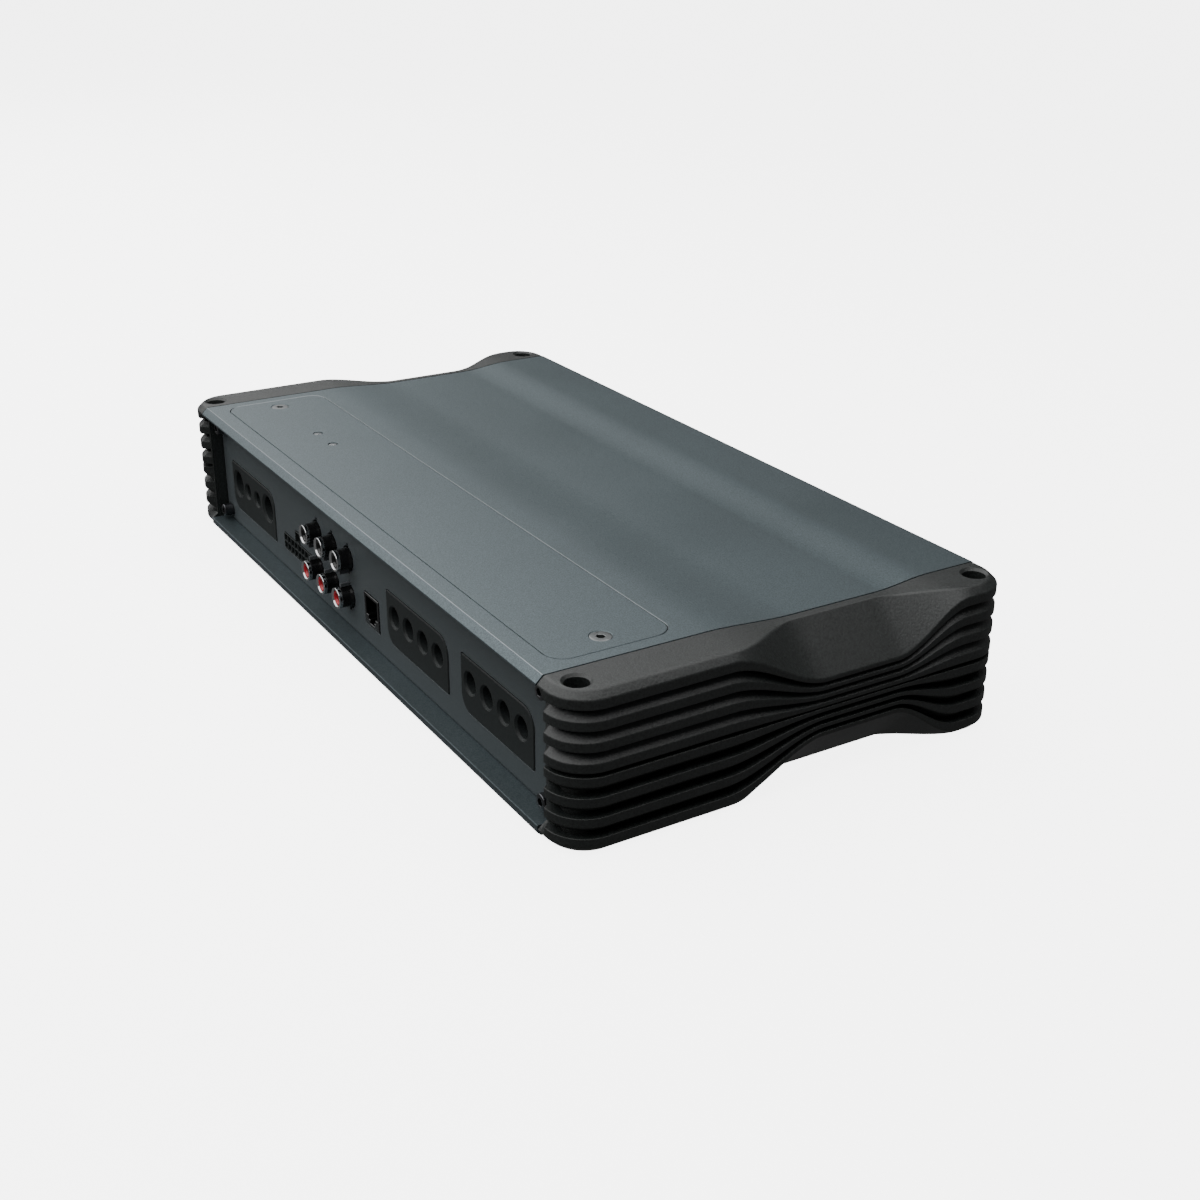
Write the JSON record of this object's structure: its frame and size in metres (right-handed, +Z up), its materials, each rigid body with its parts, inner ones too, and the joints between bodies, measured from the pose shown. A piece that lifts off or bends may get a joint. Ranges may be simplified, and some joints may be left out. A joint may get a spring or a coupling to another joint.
{
  "type": "car amplifier",
  "caption": "Car audio amplifier with a wavy aluminium housing, finned waisted end caps, a lift-off access cover, and power, speaker, phono and signal connections along one side.",
  "frame": {"origin": "on the underside, at the middle of the footprint", "axes": "+X along the housing, to the right when facing the connection panel; -Y is the connection panel side; +Z up"},
  "size_m": [0.337, 0.1742, 0.055],
  "materials": {
    "housing_paint": "satin slate blue-grey powder coat with a fine sparkle over extruded aluminium",
    "end_cap_coating": "fine-textured charcoal-black powder coat over cast aluminium",
    "panel_paint": "matt dark slate coat on sheet aluminium",
    "black_plastic": "warm black moulded glass-filled nylon",
    "red_plastic": "red moulded plastic",
    "chrome_plate": "bright chrome plate",
    "nickel_screw": "nickel-plated steel",
    "black_screw": "black zinc-plated steel",
    "circuit_board": "green solder mask over glass-epoxy board",
    "clear_plastic": "clear moulded light pipe",
    "grey_plastic": "mid-grey moulded plastic",
    "copper_winding": "enamelled copper wire",
    "capacitor_sleeve": "shrink sleeve over an aluminium can"
  },
  "bodies": {
    "chassis": {"top_shell": "housing_paint", "bottom_plate": "housing_paint", "left_end_cap": "end_cap_coating", "right_end_cap": "end_cap_coating", "connection_panel": "panel_paint", "power_terminal_block": "black_plastic", "speaker_terminal_block_1": "black_plastic", "speaker_terminal_block_2": "black_plastic", "phono_jack_housing": "black_plastic", "signal_connector": "black_plastic", "network_jack": "black_plastic", "phono_insulator_upper_1": "black_plastic", "phono_insulator_upper_2": "black_plastic", "phono_insulator_upper_3": "black_plastic", "gain_pot_1": "black_plastic", "gain_pot_2": "black_plastic", "gain_pot_3": "black_plastic", "crossover_switch_1": "black_plastic", "crossover_switch_2": "black_plastic", "phono_insulator_lower_1": "red_plastic", "phono_insulator_lower_2": "red_plastic", "phono_insulator_lower_3": "red_plastic", "phono_shell_upper_1": "chrome_plate", "phono_shell_upper_2": "chrome_plate", "phono_shell_upper_3": "chrome_plate", "phono_shell_lower_1": "chrome_plate", "phono_shell_lower_2": "chrome_plate", "phono_shell_lower_3": "chrome_plate", "power_set_screw_1": "nickel_screw", "power_set_screw_2": "nickel_screw", "power_set_screw_3": "nickel_screw", "power_set_screw_4": "nickel_screw", "speaker_set_screw_1": "nickel_screw", "speaker_set_screw_2": "nickel_screw", "speaker_set_screw_3": "nickel_screw", "speaker_set_screw_4": "nickel_screw", "speaker_set_screw_5": "nickel_screw", "speaker_set_screw_6": "nickel_screw", "speaker_set_screw_7": "nickel_screw", "speaker_set_screw_8": "nickel_screw", "panel_screw_1": "black_screw", "panel_screw_2": "black_screw", "panel_screw_3": "black_screw", "panel_screw_4": "black_screw", "main_circuit_board": "circuit_board", "control_board": "circuit_board", "power_transformer": "copper_winding", "output_inductor": "copper_winding", "supply_capacitor_1": "capacitor_sleeve", "supply_capacitor_2": "capacitor_sleeve"},
    "access_cover": {"access_cover": "housing_paint", "cover_screw_1": "nickel_screw", "cover_screw_2": "nickel_screw", "indicator_lens_1": "clear_plastic", "indicator_lens_2": "clear_plastic"},
    "gain_knob_1": {"gain_knob_1": "grey_plastic"},
    "gain_knob_2": {"gain_knob_2": "grey_plastic"},
    "gain_knob_3": {"gain_knob_3": "grey_plastic"},
    "crossover_slider_1": {"crossover_slider_1": "grey_plastic"},
    "crossover_slider_2": {"crossover_slider_2": "grey_plastic"}
  },
  "joints": [
    {"name": "access_cover_lift", "type": "slide", "parent": "chassis", "child": "access_cover", "axis": [0, 0, 1], "range_m": [0, 0.03]},
    {"name": "gain_knob_1_turn", "type": "hinge", "parent": "chassis", "child": "gain_knob_1", "pos_m": [-0.055, -0.05, 0.0459], "axis": [0, 0, 1], "range_deg": [-140, 140]},
    {"name": "gain_knob_2_turn", "type": "hinge", "parent": "chassis", "child": "gain_knob_2", "pos_m": [-0.015, -0.05, 0.0459], "axis": [0, 0, 1], "range_deg": [-140, 140]},
    {"name": "gain_knob_3_turn", "type": "hinge", "parent": "chassis", "child": "gain_knob_3", "pos_m": [0.025, -0.05, 0.0459], "axis": [0, 0, 1], "range_deg": [-140, 140]},
    {"name": "crossover_slider_1_slide", "type": "slide", "parent": "chassis", "child": "crossover_slider_1", "axis": [1, 0, 0], "range_m": [-0.0026, 0.0026]},
    {"name": "crossover_slider_2_slide", "type": "slide", "parent": "chassis", "child": "crossover_slider_2", "axis": [1, 0, 0], "range_m": [-0.0026, 0.0026]}
  ]
}
